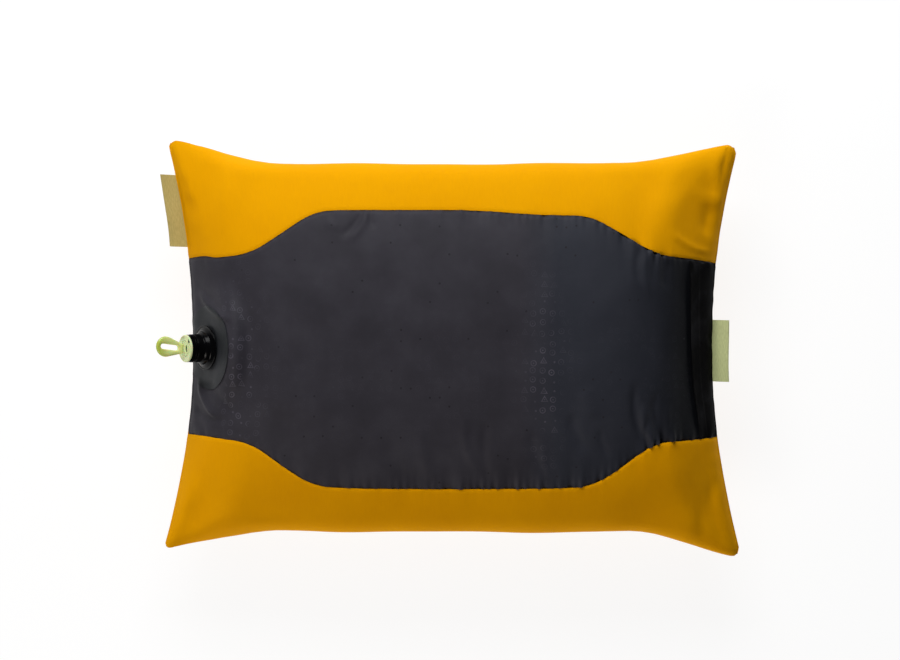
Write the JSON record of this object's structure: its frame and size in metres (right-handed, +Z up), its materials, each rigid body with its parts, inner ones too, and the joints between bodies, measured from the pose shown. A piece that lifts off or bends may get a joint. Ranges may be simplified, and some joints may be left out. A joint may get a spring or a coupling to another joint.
{
  "type": "inflatable camp pillow",
  "caption": "Inflatable camp pillow: waisted golden fabric case with a dark back panel, an oral valve with a pull loop, an envelope flap and tape tabs, round a welded air bladder.",
  "frame": {"origin": "centre of the flat patch underneath, where the pillow rests on its sleeping face", "axes": "+Z up, towards the back panel; +X along the length, away from the valve; Y across the width"},
  "size_m": [0.3919, 0.2766, 0.095],
  "materials": {
    "golden_fabric": "satin",
    "charcoal_coated_fabric": "semi-gloss",
    "black_coated_fabric": "semi-gloss",
    "smooth_charcoal_film": "satin",
    "binding_tape": "matte",
    "olive_tape": "matte",
    "sage_tape": "matte",
    "white_fibre_fill": "matte",
    "grey_laminate": "satin",
    "clear_film": "satin",
    "black_moulded_plastic": "gloss",
    "clear_silicone": "satin",
    "pale_lime_plastic": "satin",
    "black_rubber": "satin",
    "lime_elastomer": "gloss"
  },
  "bodies": {
    "pillow": {"case_wrap": "golden_fabric", "back_panel": "charcoal_coated_fabric", "end_flap": "black_coated_fabric", "valve_patch": "smooth_charcoal_film", "end_binding_left": "binding_tape", "end_binding_right": "binding_tape", "insulation_pad": "white_fibre_fill", "bladder_front_sheet": "grey_laminate", "bladder_back_sheet": "grey_laminate", "baffle_web_left": "clear_film", "baffle_web_middle": "clear_film", "baffle_web_right": "clear_film", "valve_housing": "black_moulded_plastic", "valve_inner_flange": "black_moulded_plastic", "check_valve_seat": "black_moulded_plastic"},
    "inlet_flap": {"check_flap": "clear_silicone"},
    "mouthpiece": {"mouthpiece": "pale_lime_plastic", "mouthpiece_seal": "black_rubber"},
    "plug": {"valve_plug": "pale_lime_plastic", "plug_seal": "black_rubber"},
    "loop": {"pull_loop": "lime_elastomer"},
    "label": {"label_tab": "olive_tape"},
    "hang_tab": {"loop_tab": "sage_tape"}
  },
  "joints": [
    {"name": "inlet_flap_open", "type": "slide", "parent": "pillow", "child": "inlet_flap", "axis": [0.8085, 0.0282, -0.5878], "range_m": [0, 0.002], "stiffness_N_per_m": 30},
    {"name": "mouthpiece_twist", "type": "hinge", "parent": "pillow", "child": "mouthpiece", "pos_m": [-0.17309, -0.00158, 0.0729], "axis": [-0.8085, -0.0282, 0.5878], "range_deg": [0, 90]},
    {"name": "plug_pull", "type": "slide", "parent": "mouthpiece", "child": "plug", "axis": [-0.8085, -0.0282, 0.5878], "range_m": [0, 0.012]},
    {"name": "pull_loop_bend", "type": "hinge", "parent": "plug", "child": "loop", "pos_m": [-0.17996, -0.00182, 0.07789], "axis": [-0.0349, 0.9994, 0], "range_deg": [-60, 75], "stiffness_Nm_per_rad": 0.004},
    {"name": "label_tab_bend", "type": "hinge", "parent": "pillow", "child": "label", "pos_m": [-0.18629, 0.0925, 0.04625], "axis": [0.1361, -0.9907, 0], "range_deg": [-75, 75], "stiffness_Nm_per_rad": 0.003},
    {"name": "loop_tab_bend", "type": "hinge", "parent": "pillow", "child": "hang_tab", "pos_m": [0.18015, -0.0035, 0.04625], "axis": [0, 1, 0], "range_deg": [-75, 75], "stiffness_Nm_per_rad": 0.003}
  ]
}
